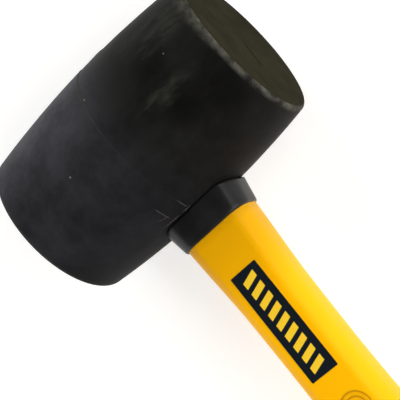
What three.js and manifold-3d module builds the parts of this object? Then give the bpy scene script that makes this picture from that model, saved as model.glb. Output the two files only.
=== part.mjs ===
// Rubber mallet with a barrel head and a glass-fibre handle, lying at rest on its head and its butt.
// Units are millimetres. The tool is drawn straight first: its origin is the middle of the head, +X runs
// down the handle, +Y along the head, and +Z out of the flat front of the handle. It is then laid down.

import * as THREE from 'three';
import { LoftGeometry } from 'three/addons/geometries/LoftGeometry.js';
import { mergeVertices } from 'three/addons/utils/BufferGeometryUtils.js';
import Module from 'manifold-3d';

const wasm = await Module();
wasm.setup();

// clearance between neighbouring solids, and how far a cutting shape runs past the body that it cuts
const gap = 0.3;
const overshoot = 2;

// handle section: steps in each rounded corner, and the share of the half thickness that is flat at the side
const cornerSteps = 8;
const flankShare = 0.2;

// barrel head, turned about Y
const headHalfLength = 45.5;
const headMidRadius = 31.5;
const nearFaceRadius = 28.0;
const farFaceRadius = 28.8;
const headEdgeRadius = 1.3;
const headSides = 64;
const headRings = 16;

// handle stations along X
const tangEnd = -29.6;
const tangNeckX = 31.8;
const shoulderX = 32.2;
const bondEnd = 29.2;
const collarEnd = 39.7;
const gripStart = 172;
const jacketEnd = 274;
const coreEnd = 262;
const buttX = 303;
const buttContactX = 295;
const buttHalfThickness = 13.2;

// tang in the eye, half sizes at its neck end and at its wedged top end
const tangNeck = { width: 10.9, thick: 7.7 };
const tangTop = { width: 12.1, thick: 8.4 };
const bondThickness = 0.9;

// pultruded rod and the two wedges driven in beside it, both a little below the tang's cut end
const coreRadius = 5.5;
const coreSides = 40;
const endRecess = 0.4;
const wedgeDepth = 15;
const wedgeHalfHeight = 4.8;
const wedgeHead = 1.7;
const wedgeTip = 0.8;

// band under the head: drawn from inside the barrel, which is cut out of it, then a taper and a chamfer
const collarRoot = 24;
const collarHeadEnd = { x: 31, width: 15.5, thick: 10.8 };
const collarLowEnd = { width: 13.9, thick: 10.5 };
const collarChamfer = 0.7;
const collarChamferInset = 0.3;

// soft grip: a rounded lip, then cross grooves
const gripWall = 2.2;
const gripLip = 0.7;
const gripLipStart = 0.2;
const gripLipLength = 0.8;
const grooveDepth = 0.9;
const grooveHalfWidth = 1.6;
const grooveFloorHalfWidth = 0.6;
const groovePitch = 8;
const grooveCount = 11;
const firstGroove = 190;
const buttInset = 0.75;
const hangHoleX = 287;
const hangHoleRadius = 4.5;
const hangHoleSides = 32;

// film label on the flat front
const label = { start: 55.6, end: 96.7, width: 10.6, thick: 0.3 };

// moulded rings on the flat front, each a groove inside its outer radius
const ringX = 110.4;
const ringY = 1;
const ringRadii = [5.6, 4];
const ringWidth = 0.8;
const ringDepth = 0.35;
const ringSides = 40;

const finishes = {
  headRubber: { color: 0x2a2a2c, roughness: 0.62 },
  bandRubber: { color: 0x222021, roughness: 0.5 },
  jacketPlastic: { color: 0xf5b400, roughness: 0.35 },
  fibreglass: { color: 0xd8cf9c, roughness: 0.55 },
  resin: { color: 0x3b3428, roughness: 0.4 },
  wedgePlastic: { color: 0x1f1f22, roughness: 0.5 },
  gripRubber: { color: 0x1d1d1f, roughness: 0.7 },
  labelFilm: { color: 0x0d1a24, roughness: 0.3 },
};

// half widths and half thicknesses along the handle, read as smooth curves through a few stations
const handleWidth = smoothCurve([
  [shoulderX, 13.5], [42, 13.15], [70, 11.55], [98, 11.2], [126, 11.85], [150, 12.8], [gripStart, 13.4],
  [212, 15.3], [238, 15.1], [268, 13.9], [288, 15.9], [buttX, 16.4],
]);
const handleThickness = smoothCurve([
  [shoulderX, 9.7], [70, 9.7], [128, 9.7], [gripStart, 10.9], [212, 12.6], [240, 12.4], [268, 11.9],
  [buttContactX, buttHalfThickness], [buttX, buttHalfThickness],
]);

// share of the half width that stays flat in front: broad on the jacket, rounder in the palm
const flatShare = smoothCurve([[shoulderX, 0.56], [128, 0.56], [205, 0.34], [buttX, 0.34]]);

function smoothCurve(stations) {
  // monotone cubic through the stations, so that it never overshoots them
  const slope = stations.map((point, i) => {
    if (i === 0 || i === stations.length - 1) return 0;
    const before = (point[1] - stations[i - 1][1]) / (point[0] - stations[i - 1][0]);
    const after = (stations[i + 1][1] - point[1]) / (stations[i + 1][0] - point[0]);
    return before * after <= 0 ? 0 : 2 * before * after / (before + after);
  });
  return (x) => {
    if (x <= stations[0][0]) return stations[0][1];
    if (x >= stations.at(-1)[0]) return stations.at(-1)[1];
    const i = stations.findIndex((point) => point[0] > x) - 1;
    const span = stations[i + 1][0] - stations[i][0];
    const t = (x - stations[i][0]) / span;
    const rise = t * t * (3 - 2 * t);
    const bend = span * (slope[i] * t * (1 - t) * (1 - t) - slope[i + 1] * t * t * (1 - t));
    return stations[i][1] + (stations[i + 1][1] - stations[i][1]) * rise + bend;
  };
}

function range(first, last, steps) {
  return Array.from({ length: steps + 1 }, (_, i) => first + (last - first) * i / steps);
}

// closed handle section in the plane at x: flat front and back, slightly flat flanks, elliptical corners
function section(x, width, thick) {
  const flatFront = flatShare(x) * width;
  const flatFlank = flankShare * thick;
  const points = [];
  for (const [sideY, sideZ, start] of [[1, 1, 0], [-1, 1, 90], [-1, -1, 180], [1, -1, 270]]) {
    for (const degrees of range(start, start + 90, cornerSteps)) {
      const angle = THREE.MathUtils.degToRad(degrees);
      const y = sideY * flatFront + (width - flatFront) * Math.cos(angle);
      const z = sideZ * flatFlank + (thick - flatFlank) * Math.sin(angle);
      points.push(new THREE.Vector3(x, y, z));
    }
  }
  return points;
}

function loft(sections) {
  return new LoftGeometry(sections, { capStart: true, capEnd: true });
}

// section of the tapered tang at x, grown outwards for the resin and the eye that surround it
function tangSection(x, grow = 0) {
  const share = (x - tangEnd) / (tangNeckX - tangEnd);
  const width = THREE.MathUtils.lerp(tangTop.width, tangNeck.width, share);
  const thick = THREE.MathUtils.lerp(tangTop.thick, tangNeck.thick, share);
  return section(x, width + grow, thick + grow);
}

function solid(geometry) {
  const plain = new THREE.BufferGeometry();
  plain.setAttribute('position', geometry.attributes.position);
  plain.setIndex(geometry.index);
  const merged = mergeVertices(plain, 1e-4);
  return new wasm.Manifold(new wasm.Mesh({
    numProp: 3,
    vertProperties: new Float32Array(merged.attributes.position.array),
    triVerts: new Uint32Array(merged.index.array),
  }));
}

function toGeometry(manifold) {
  const mesh = manifold.getMesh();
  const geometry = new THREE.BufferGeometry();
  geometry.setAttribute('position', new THREE.BufferAttribute(mesh.vertProperties, 3));
  geometry.setIndex(new THREE.BufferAttribute(mesh.triVerts, 1));
  geometry.computeVertexNormals();
  return geometry;
}

function cut(body, ...tools) {
  return toGeometry(tools.reduce((left, tool) => left.subtract(solid(tool)), solid(body)));
}

// barrel outline about Y, grown outwards by an offset; the two halves have their own face radius
function barrel(offset = 0) {
  const radiusAt = (y) => {
    const faceRadius = y > 0 ? nearFaceRadius : farFaceRadius;
    return headMidRadius - (headMidRadius - faceRadius) * (y / headHalfLength) ** 2;
  };
  const flatPart = headHalfLength - headEdgeRadius;
  const profile = [new THREE.Vector2(0, -headHalfLength - offset)];
  for (const angle of range(-90, -15, 4)) {
    profile.push(edgePoint(-1, farFaceRadius, angle, offset));
  }
  for (const y of range(-flatPart, flatPart, headRings)) {
    profile.push(new THREE.Vector2(radiusAt(y) + offset, y));
  }
  for (const angle of range(15, 90, 4)) {
    profile.push(edgePoint(1, nearFaceRadius, angle, offset));
  }
  profile.push(new THREE.Vector2(0, headHalfLength + offset));
  return new THREE.LatheGeometry(profile, headSides);
}

function edgePoint(side, faceRadius, degrees, offset) {
  const angle = THREE.MathUtils.degToRad(degrees);
  const radius = headEdgeRadius + offset;
  return new THREE.Vector2(
    faceRadius - headEdgeRadius + radius * Math.cos(angle),
    side * (headHalfLength - headEdgeRadius) + radius * Math.sin(angle),
  );
}

function rodAlongX(radius, x0, x1, sides) {
  const rod = new THREE.CylinderGeometry(radius, radius, x1 - x0, sides);
  rod.rotateZ(-Math.PI / 2);
  rod.translate((x0 + x1) / 2, 0, 0);
  return rod;
}

function rodAlongZ(radius, x, z0, z1, sides) {
  const rod = new THREE.CylinderGeometry(radius, radius, z1 - z0, sides);
  rod.rotateX(Math.PI / 2);
  rod.translate(x, 0, (z0 + z1) / 2);
  return rod;
}

// the tang, its resin and the eye share one taper, each wider than the last
const bondInner = gap;
const bondOuter = gap + bondThickness;
const eyeWall = bondOuter + gap;

function rubberHead() {
  const reach = headMidRadius + overshoot;
  return cut(barrel(), loft([tangSection(-reach, eyeWall), tangSection(reach, eyeWall)]));
}

function eyeBond() {
  const sleeve = loft([tangSection(tangEnd + gap, bondOuter), tangSection(bondEnd, bondOuter)]);
  const boreEnds = [tangEnd - overshoot, bondEnd + overshoot];
  const bore = loft(boreEnds.map((x) => tangSection(x, bondInner)));
  return cut(sleeve, bore);
}

// a wedge between the rod and the side of the tang; side is +1 or -1, grow widens it into its slot
function wedgeShape(side, grow) {
  const middle = side * (coreRadius + tangTop.width) / 2;
  const start = tangEnd + endRecess - (grow > 0 ? overshoot : 0);
  const end = tangEnd + wedgeDepth + grow;
  const outline = new THREE.Shape();
  outline.moveTo(start, -wedgeHead / 2 - grow);
  outline.lineTo(end, -wedgeTip / 2 - grow);
  outline.lineTo(end, wedgeTip / 2 + grow);
  outline.lineTo(start, wedgeHead / 2 + grow);
  outline.closePath();
  const height = 2 * (wedgeHalfHeight + grow);
  const wedge = new THREE.ExtrudeGeometry(outline, { depth: height, bevelEnabled: false });
  wedge.translate(0, middle, -height / 2);
  return wedge;
}

// outer form of the jacket: tang, shoulder, waisted neck, then the thinner part under the grip
function jacketBody() {
  const sections = [tangSection(tangEnd), tangSection(tangNeckX)];
  for (const x of range(shoulderX, gripStart - gap, 20)) {
    sections.push(section(x, handleWidth(x), handleThickness(x)));
  }
  for (const x of range(gripStart, jacketEnd, 7)) {
    sections.push(section(x, handleWidth(x) - gripWall, handleThickness(x) - gripWall));
  }
  return loft(sections);
}

function ringGroove(radius) {
  const inner = radius - ringWidth;
  const floor = handleThickness(ringX) - ringDepth;
  const profile = [
    new THREE.Vector2(inner, floor),
    new THREE.Vector2(radius, floor),
    new THREE.Vector2(radius, floor + overshoot),
    new THREE.Vector2(inner, floor + overshoot),
    new THREE.Vector2(inner, floor),
  ];
  const ring = new THREE.LatheGeometry(profile, ringSides);
  ring.rotateX(Math.PI / 2);
  ring.translate(ringX, ringY, 0);
  return ring;
}

function handleJacket() {
  const bore = rodAlongX(coreRadius + gap, tangEnd - overshoot, coreEnd + gap, coreSides);
  const slots = [1, -1].map((side) => wedgeShape(side, gap));
  return cut(jacketBody(), bore, ...slots, ...ringRadii.map(ringGroove));
}

function neckCollar() {
  const low = collarLowEnd;
  const wide = collarHeadEnd;
  const inset = collarChamferInset;
  const outer = loft([
    section(collarRoot, wide.width, wide.thick),
    section(wide.x, wide.width, wide.thick),
    section(collarEnd - collarChamfer, low.width, low.thick),
    section(collarEnd, low.width - inset, low.thick - inset),
  ]);
  const bore = loft([collarRoot - overshoot, ...range(shoulderX, collarEnd + overshoot, 4)].map(
    (x) => section(x, handleWidth(x) + gap, handleThickness(x) + gap),
  ));
  return cut(outer, bore, barrel(gap));
}

// outer form of the grip: a rounded lip, shallow cross grooves, a flared and rounded butt
function gripBody() {
  const stations = [[gripStart, gripLipStart], [gripStart + gripLipLength, gripLip]];
  for (const x of range(firstGroove, firstGroove + (grooveCount - 1) * groovePitch, grooveCount - 1)) {
    stations.push([x - grooveHalfWidth, gripLip], [x - grooveFloorHalfWidth, gripLip - grooveDepth]);
    stations.push([x + grooveFloorHalfWidth, gripLip - grooveDepth], [x + grooveHalfWidth, gripLip]);
  }
  const lastGrooveEnd = stations.at(-1)[0];
  for (const x of range(lastGrooveEnd, buttContactX, 4).slice(1)) {
    stations.push([x, gripLip]);
  }
  const sections = stations.map(([x, lift]) => section(x, handleWidth(x) + lift, handleThickness(x) + lift));
  const endRadius = buttX - buttContactX;
  for (const degrees of range(15, 90, 5)) {
    const angle = THREE.MathUtils.degToRad(degrees);
    const x = buttContactX + endRadius * Math.sin(angle);
    const lift = gripLip - buttInset * endRadius * (1 - Math.cos(angle));
    sections.push(section(x, handleWidth(x) + lift, handleThickness(x) + lift));
  }
  return loft(sections);
}

function gripSleeve() {
  const clear = gap - gripWall;
  const bore = loft([gripStart - overshoot, ...range(gripStart, jacketEnd, 7), jacketEnd + gap].map(
    (x) => section(x, handleWidth(x) + clear, handleThickness(x) + clear),
  ));
  const reach = buttHalfThickness + gripLip + overshoot;
  const hangHole = rodAlongZ(hangHoleRadius, hangHoleX, -reach, reach, hangHoleSides);
  return cut(gripBody(), bore, hangHole);
}

function frontLabel() {
  const film = new THREE.BoxGeometry(label.end - label.start, label.width, label.thick);
  const level = handleThickness(label.start) + gap + label.thick / 2;
  film.translate((label.start + label.end) / 2, 0, level);
  return film;
}

function piece(name, geometry, finish) {
  const mesh = new THREE.Mesh(geometry, new THREE.MeshStandardMaterial({ ...finish, metalness: 0 }));
  mesh.name = name;
  return mesh;
}

const tool = new THREE.Group();
const core = rodAlongX(coreRadius, tangEnd + endRecess, coreEnd, coreSides);
tool.add(piece('rubber_head', rubberHead(), finishes.headRubber));
tool.add(piece('neck_collar', neckCollar(), finishes.bandRubber));
tool.add(piece('handle_jacket', handleJacket(), finishes.jacketPlastic));
tool.add(piece('fibreglass_core', core, finishes.fibreglass));
tool.add(piece('eye_bond', eyeBond(), finishes.resin));
tool.add(piece('tang_wedge_near', wedgeShape(1, 0), finishes.wedgePlastic));
tool.add(piece('tang_wedge_far', wedgeShape(-1, 0), finishes.wedgePlastic));
tool.add(piece('grip_sleeve', gripSleeve(), finishes.gripRubber));
tool.add(piece('front_label', frontLabel(), finishes.labelFilm));

// lay the tool down: the barrel's widest ring and the butt's lower edge touch the same plane
const contactDrop = buttHalfThickness + gripLip;
const contactReach = Math.hypot(buttContactX, contactDrop);
const restTilt = Math.asin(headMidRadius / contactReach) - Math.atan2(contactDrop, buttContactX);
tool.rotation.y = restTilt;
tool.updateMatrixWorld(true);

// the bottom centre of the whole tool is the origin
const bounds = new THREE.Box3().setFromObject(tool, true);
const middle = bounds.getCenter(new THREE.Vector3());
tool.position.set(-middle.x, -middle.y, -bounds.min.z);

const group = new THREE.Group();
group.add(tool);
group.updateMatrixWorld(true);

export default group;
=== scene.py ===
# Rubber mallet lying on a pale studio floor.
# Every shape is worked out in millimetres along the tool's own axes: X runs from the middle of the head
# down the handle, Y along the head, Z out of the flat front of the handle. It is laid in place at the end.
import math

import bmesh
import bpy
from mathutils import Matrix, Vector, noise


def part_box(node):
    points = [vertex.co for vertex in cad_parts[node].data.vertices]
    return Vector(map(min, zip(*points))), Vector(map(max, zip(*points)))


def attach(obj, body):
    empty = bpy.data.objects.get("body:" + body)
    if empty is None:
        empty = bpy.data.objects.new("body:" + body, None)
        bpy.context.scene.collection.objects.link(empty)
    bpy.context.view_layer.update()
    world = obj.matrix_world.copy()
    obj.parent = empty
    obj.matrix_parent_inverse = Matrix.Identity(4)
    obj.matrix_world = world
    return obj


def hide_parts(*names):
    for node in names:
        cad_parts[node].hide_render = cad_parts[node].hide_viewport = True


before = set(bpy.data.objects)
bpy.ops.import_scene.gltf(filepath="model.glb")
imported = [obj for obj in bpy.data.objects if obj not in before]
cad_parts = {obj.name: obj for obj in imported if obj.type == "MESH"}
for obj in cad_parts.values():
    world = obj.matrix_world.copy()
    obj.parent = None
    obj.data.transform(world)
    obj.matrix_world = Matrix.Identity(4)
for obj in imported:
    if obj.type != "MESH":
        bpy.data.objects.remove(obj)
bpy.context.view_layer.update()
print("frame loaded")

# the tool's own axes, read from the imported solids: the rod's axis runs through the middle of the head
headLow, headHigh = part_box("rubber_head")
coreLow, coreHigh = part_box("fibreglass_core")
headCentre = (headLow + headHigh) / 2
coreCentre = (coreLow + coreHigh) / 2
restTilt = math.atan2(headCentre.z - coreCentre.z, coreCentre.x - headCentre.x)
millimetre = 0.001
toolToWorld = (
    Matrix.Translation(headCentre)
    @ Matrix.Rotation(restTilt, 4, "Y")
    @ Matrix.Scale(millimetre, 4)
)
worldToTool = toolToWorld.inverted()


def toolBox(nodeName):
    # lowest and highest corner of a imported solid, in millimetres along the tool's axes
    points = [worldToTool @ vert.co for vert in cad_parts[nodeName].data.vertices]
    low = Vector([min(point[axis] for point in points) for axis in range(3)])
    high = Vector([max(point[axis] for point in points) for axis in range(3)])
    return low, high


headSolid = toolBox("rubber_head")
collarSolid = toolBox("neck_collar")
jacketSolid = toolBox("handle_jacket")
coreSolid = toolBox("fibreglass_core")
gripSolid = toolBox("grip_sleeve")
labelSolid = toolBox("front_label")

# hairline between pieces that are moulded or stuck on each other, and the reach within which points merge
fitGap = 0.04
weldReach = 0.002


# curves and outlines

def smoothCurve(stations):
    # monotone cubic through the stations, so that it never overshoots them
    slopes = [0.0] * len(stations)
    for i in range(1, len(stations) - 1):
        (x0, y0), (x1, y1), (x2, y2) = stations[i - 1:i + 2]
        before, after = (y1 - y0) / (x1 - x0), (y2 - y1) / (x2 - x1)
        if before * after > 0:
            slopes[i] = 2 * before * after / (before + after)

    def valueAt(x):
        if x <= stations[0][0]:
            return stations[0][1]
        if x >= stations[-1][0]:
            return stations[-1][1]
        i = next(k for k, station in enumerate(stations) if station[0] > x) - 1
        (x0, y0), (x1, y1) = stations[i], stations[i + 1]
        t = (x - x0) / (x1 - x0)
        rise = t * t * (3 - 2 * t)
        bend = (x1 - x0) * (slopes[i] * t * (1 - t) ** 2 - slopes[i + 1] * t * t * (1 - t))
        return y0 + (y1 - y0) * rise + bend

    return valueAt


def spread(first, last, steps):
    return [first + (last - first) * i / steps for i in range(steps + 1)]


def smoothStep(low, high, value):
    t = min(max((value - low) / (high - low), 0.0), 1.0)
    return t * t * (3 - 2 * t)


# half sizes of the handle at stations along X
handle = {
    "widths": [(32.2, 13.5), (42, 13.15), (70, 11.55), (98, 11.2), (126, 11.85), (150, 12.8), (172, 13.4),
               (212, 15.3), (238, 15.1), (268, 13.9), (288, 15.9), (303, 16.4)],
    "thicknesses": [(32.2, 9.7), (70, 9.7), (128, 9.7), (172, 10.9), (212, 12.6), (240, 12.4), (268, 11.9),
                    (295, 13.2), (303, 13.2)],
    "flatShares": [(32.2, 0.56), (128, 0.56), (205, 0.34), (303, 0.34)],
    "flankShare": 0.2,
    "cornerSteps": 16,
    "frontSteps": 10,
    "moldLine": 0.035,         # height of the fine parting line along each flank
    "moldLineHalfWidth": 0.22,
}
handleWidth = smoothCurve(handle["widths"])
handleThickness = smoothCurve(handle["thicknesses"])
flatShare = smoothCurve(handle["flatShares"])

# the tang in the eye tapers from its wedged end down to the neck
tang = {"end": jacketSolid[0].x, "neck": 31.8, "endHalf": (12.1, 8.4), "neckHalf": (10.9, 7.7)}


def roundedLoop(x, halfWidth, halfThick, share, seam=0.0):
    # closed outline across the handle: flat front and back, elliptical corners, a fine seam on each flank
    flat, flank = share * halfWidth, handle["flankShare"] * halfThick
    steps, line = handle["cornerSteps"], handle["moldLineHalfWidth"]
    loop = []
    for sideY, sideZ, start in ((1, 1, 0), (-1, 1, 90), (-1, -1, 180), (1, -1, 270)):
        for degrees in spread(start, start + 90, steps):
            angle = math.radians(degrees)
            y = sideY * flat + (halfWidth - flat) * math.cos(angle)
            z = sideZ * flank + (halfThick - flank) * math.sin(angle)
            loop.append(Vector((x, y, z)))
        if sideY == sideZ:
            for y in spread(sideZ * flat, -sideZ * flat, handle["frontSteps"])[1:-1]:
                loop.append(Vector((x, y, sideZ * halfThick)))
        else:
            for z, lift in ((sideZ * line, 0), (0, seam), (-sideZ * line, 0)):
                loop.append(Vector((x, sideY * (halfWidth + lift), z)))
    return loop


def handleLoop(x, grow=0.0, seam=0.0):
    return roundedLoop(x, handleWidth(x) + grow, handleThickness(x) + grow, flatShare(x), seam)


def tangLoop(x, grow=0.0):
    share = (x - tang["end"]) / (tang["neck"] - tang["end"])
    halfWidth, halfThick = [
        end + (neck - end) * share + grow for end, neck in zip(tang["endHalf"], tang["neckHalf"])
    ]
    return roundedLoop(x, halfWidth, halfThick, flatShare(x))


def closingLoops(loop, shares=(0.75, 0.4, 0.0)):
    # the loop drawn in to its middle, which closes an end with flat quads
    middle = sum(loop, Vector()) / len(loop)
    return [[middle.lerp(point, share) for point in loop] for share in shares]


# mesh tools

def skin(loops):
    # a grid whose rows are bent round the loops; its side edges and its poles are welded
    rows, columns = len(loops) - 1, len(loops[0])
    bm = bmesh.new()
    bmesh.ops.create_grid(bm, x_segments=columns, y_segments=rows, size=1)
    for vert in bm.verts:
        column = round((vert.co.x + 1) / 2 * columns) % columns
        row = round((vert.co.y + 1) / 2 * rows)
        vert.co = loops[row][column]
    return welded(bm)


def turned(profile, axis, steps, centre=(0, 0, 0)):
    # a profile of (radius, height) points spun round the axis
    bm = bmesh.new()
    along = Vector(axis)
    side = Vector((along.z, along.x, along.y))
    start = Vector(centre)
    verts = [bm.verts.new(start + side * radius + along * height) for radius, height in profile]
    edges = [bm.edges.new(pair) for pair in zip(verts, verts[1:])]
    bmesh.ops.spin(bm, geom=verts + edges, cent=start, axis=along, angle=math.tau, steps=steps,
                   use_merge=True)
    return welded(bm)


def welded(bm):
    bmesh.ops.remove_doubles(bm, verts=bm.verts, dist=weldReach)
    bmesh.ops.recalc_face_normals(bm, faces=bm.faces)
    return bm


def looseObject(bm):
    mesh = bpy.data.meshes.new("loose")
    bm.to_mesh(mesh)
    bm.free()
    loose = bpy.data.objects.new("loose", mesh)
    bpy.context.scene.collection.objects.link(loose)
    return loose


def combine(bm, tools, operation="DIFFERENCE"):
    # the body with each tool's shape taken out of it, or joined to it
    body = looseObject(bm)
    others = [looseObject(tool) for tool in tools]
    for other in others:
        step = body.modifiers.new("step", "BOOLEAN")
        step.operation = operation
        step.solver = "EXACT"
        step.object = other
    shaped = body.evaluated_get(bpy.context.evaluated_depsgraph_get())
    result = bmesh.new()
    result.from_mesh(shaped.data)
    for loose in [body] + others:
        mesh = loose.data
        bpy.data.objects.remove(loose)
        bpy.data.meshes.remove(mesh)
    return result


def layPiece(name, bm, materials, nodes, sharpAngle=38):
    # the finished mesh, laid in place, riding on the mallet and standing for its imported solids
    welded(bm)
    bmesh.ops.transform(bm, matrix=toolToWorld, verts=bm.verts)
    mesh = bpy.data.meshes.new(name)
    bm.to_mesh(mesh)
    bm.free()
    mesh.shade_smooth()
    mesh.set_sharp_from_angle(angle=math.radians(sharpAngle))
    for material in materials:
        mesh.materials.append(material)
    piece = bpy.data.objects.new(name, mesh)
    bpy.context.scene.collection.objects.link(piece)
    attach(piece, "root")
    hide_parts(*nodes)
    print("made", name, len(mesh.polygons), "faces")
    return piece


# material tools

def toLinear(hexCode):
    # an sRGB hex colour as the linear colour that the shaders take
    channels = [int(hexCode[i:i + 2], 16) / 255 for i in (1, 3, 5)]
    return [c / 12.92 if c <= 0.04045 else ((c + 0.055) / 1.055) ** 2.4 for c in channels] + [1.0]


def addNode(tree, kind, inputs, output=0, **settings):
    # one node with its settings; each input takes a value or another node's output. A Mix node's colours
    # are its inputs 6 and 7 and its output 2, and Map Range takes the range 1 to 2 to the range 3 to 4
    node = tree.nodes.new(kind)
    for name, value in settings.items():
        setattr(node, name, value)
    for name, value in inputs.items():
        if isinstance(value, bpy.types.NodeSocket):
            tree.links.new(value, node.inputs[name])
        else:
            node.inputs[name].default_value = value
    return node.outputs[output] if len(node.outputs) else node


def startMaterial(name):
    # an empty material, with the tool's own axes in millimetres as its space
    material = bpy.data.materials.new(name)
    material.use_nodes = True
    tree = material.node_tree
    tree.nodes.clear()
    place = addNode(tree, "ShaderNodeTexCoord", {}, "Object")
    space = addNode(
        tree, "ShaderNodeMapping",
        {"Vector": place, "Location": headCentre, "Rotation": (0, restTilt, 0), "Scale": (millimetre,) * 3},
        vector_type="TEXTURE",
    )
    return material, tree, space


def endMaterial(tree, inputs):
    shader = addNode(tree, "ShaderNodeBsdfPrincipled", inputs)
    addNode(tree, "ShaderNodeOutputMaterial", {"Surface": shader})


# the head

head = {
    "midRadius": headSolid[1].z,
    "halfLength": headSolid[1].y - 0.01,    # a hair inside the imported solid
    "nearFaceRadius": 28.0,
    "farFaceRadius": 28.8,
    "edgeRadius": 1.6,
    # the near half ends this far under the parting line's crest, and the far half only a bead's height
    "moldStep": 0.3,
    "beadHeight": 0.06,
    "beadHalfWidth": 0.3,
    "bead": [(0.12, 0.5), (0.0, 0.0), (-0.14, 0.4)],    # places along Y and their drop, in bead heights
    "beadReach": 0.2,          # what is nearer than this to the parting line is bead
    # the two halves of the mould meet best towards the handle, where the parting line nearly vanishes:
    # the places along X between which they close, the share of the step that goes, and its reach along Y
    "closes": (-22.0, -2.0),
    "closedShare": 0.75,
    "closedReach": 14.0,
    "waveDepth": 0.10,
    "waveLengths": (21.0, 7.0),
    "beadWaveLength": 2.5,
    "spinSteps": 224,
    "eyeGrow": 1.5,            # resin all round the tang
    "eyeLip": 1.3,
    "lipDepth": 1.5,           # the lip follows the tang's outline at this depth
    "cutBeyond": 4.0,          # how far the eye's cutter runs past the barrel
    # trimmed flash by the parting line and the eye: each runs between two places on the barrel, given
    # along Y and in degrees from the top
    "flash": [((-6.4, 50.5), (-7.0, 65)), ((-10.0, 59.4), (-6.6, 62.6)), ((0.2, 56.4), (-0.4, 67)),
              ((-11.9, 67.4), (-4.4, 68.8)), ((-3.2, 68.4), (0.4, 69.0))],
    "flashHeight": 0.4,
    "flashHalfWidth": 0.28,
    "flashSink": 0.14,
    # short blind slot that the mould's core pin leaves in each face
    "slotStart": 1.2,
    "slotEnd": 10.2,
    "slotZ": 2.4,
    "slotHalfWidth": 0.45,
    "slotDepth": 0.25,
    "groundInset": 1.0,        # a face is ground by the work up to this far from its edge
}


def barrelRadius(y):
    far = y < 0
    middle = head["midRadius"] - (head["beadHeight"] if far else head["moldStep"])
    end = head["farFaceRadius"] if far else head["nearFaceRadius"]
    return middle - (middle - end) * (y / head["halfLength"]) ** 2


def headProfile():
    # (radius, y) from the middle of the near face, over the barrel, to the middle of the far face
    edge, half = head["edgeRadius"], head["halfLength"]
    profile = []
    for side in (1, -1):
        faceRadius = head["nearFaceRadius"] if side > 0 else head["farFaceRadius"]
        slope = math.atan(2 * (head["midRadius"] - faceRadius) / half)
        endY = half - edge + edge * math.sin(slope)
        cornerRadius = barrelRadius(side * endY) - edge * math.cos(slope)
        part = [(radius, side * half) for radius in spread(0, cornerRadius, 9)]
        for angle in spread(math.pi / 2, slope, 8)[1:]:
            corner = (cornerRadius + edge * math.cos(angle), side * (half - edge + edge * math.sin(angle)))
            part.append(corner)
        part += [(barrelRadius(side * y), side * y) for y in spread(endY, 0.5, 40)[1:]]
        profile.append(part)
    top = head["midRadius"]
    foot = head["beadHalfWidth"]
    bead = [(top - drop * head["beadHeight"], y) for y, drop in head["bead"]]
    middle = [(barrelRadius(foot), foot)] + bead + [(barrelRadius(-foot), -foot)]
    return profile[0] + middle + profile[1][::-1]


def unevenSkin(vert):
    # rubber shrinks a little unevenly in the mould, always inwards here
    place = vert.co
    radial = Vector((place.x, 0, place.z))
    if radial.length < 1:
        return
    slow, quick = head["waveLengths"]
    wave = 0.5 + 0.5 * noise.noise(place / slow) + 0.25 * noise.noise(place / quick)
    depth = head["waveDepth"] * max(wave, 0.0)
    closed = smoothStep(*head["closes"], place.x)
    if abs(place.y) < head["beadReach"]:
        dip = 0.25 + 0.5 * noise.noise(place / head["beadWaveLength"])
        depth += head["beadHeight"] * max(closed, dip)
    if place.y < head["beadReach"]:
        fade = 1 - smoothStep(0.0, head["closedReach"], abs(place.y))
        depth += head["closedShare"] * head["moldStep"] * closed * fade
    share = smoothStep(0.2, 1.0, radial.length / head["midRadius"])
    vert.co -= radial.normalized() * depth * share


def eyeCutter():
    # the tang's taper with resin space round it, opening into a rounded lip that follows the barrel
    lip, grow = head["eyeLip"], head["eyeGrow"]

    def rim(side, degrees, lift=0.0):
        angle = math.radians(degrees)
        flare, depth = lip * (1 - math.sin(angle)), lip * (1 - math.cos(angle)) + lift
        loop = []
        for point in tangLoop(side * (head["midRadius"] - head["lipDepth"]), grow + flare):
            surface = math.sqrt(barrelRadius(point.y) ** 2 - point.z ** 2)
            loop.append(Vector((side * (surface - depth), point.y, point.z)))
        return loop

    angles, past = (12, 30, 48, 66, 84), -head["cutBeyond"]
    outer = [rim(-1, angles[0], past)] + [rim(-1, angle) for angle in angles]
    inner = [rim(1, angle) for angle in angles[::-1]] + [rim(1, angles[0], past)]
    return skin(closingLoops(outer[0])[::-1] + outer + inner + closingLoops(inner[-1]))


def flashRidge(start, end):
    # a low ragged ridge on the barrel that thins out at both ends
    loops = []
    for share in spread(0, 1, 18):
        y, degrees = [a + (b - a) * share for a, b in zip(start, end)]
        size = math.sin(math.pi * min(max(share, 0.04), 0.96)) ** 0.5
        size *= 0.8 + 0.6 * noise.noise(Vector((share * 9, y, degrees)))
        angle = math.radians(degrees)
        outwards = Vector((math.sin(angle), 0, math.cos(angle)))
        around = Vector((math.cos(angle), 0, -math.sin(angle)))
        run = Vector((0, end[0] - start[0], 0)) + around * math.radians(end[1] - start[1]) * barrelRadius(y)
        across = outwards.cross(run).normalized()
        middle = outwards * (barrelRadius(y) - head["flashSink"]) + Vector((0, y, 0))
        loops.append([
            middle + outwards * head["flashHeight"] * size * math.sin(turn)
            + across * head["flashHalfWidth"] * size * math.cos(turn)
            for turn in spread(0, math.tau, 10)[:-1]
        ])
    bm = skin(closingLoops(loops[0], (0.5, 0.0))[::-1] + loops + closingLoops(loops[-1], (0.5, 0.0)))
    for face in bm.faces:
        face.material_index = 2
    return bm


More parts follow.
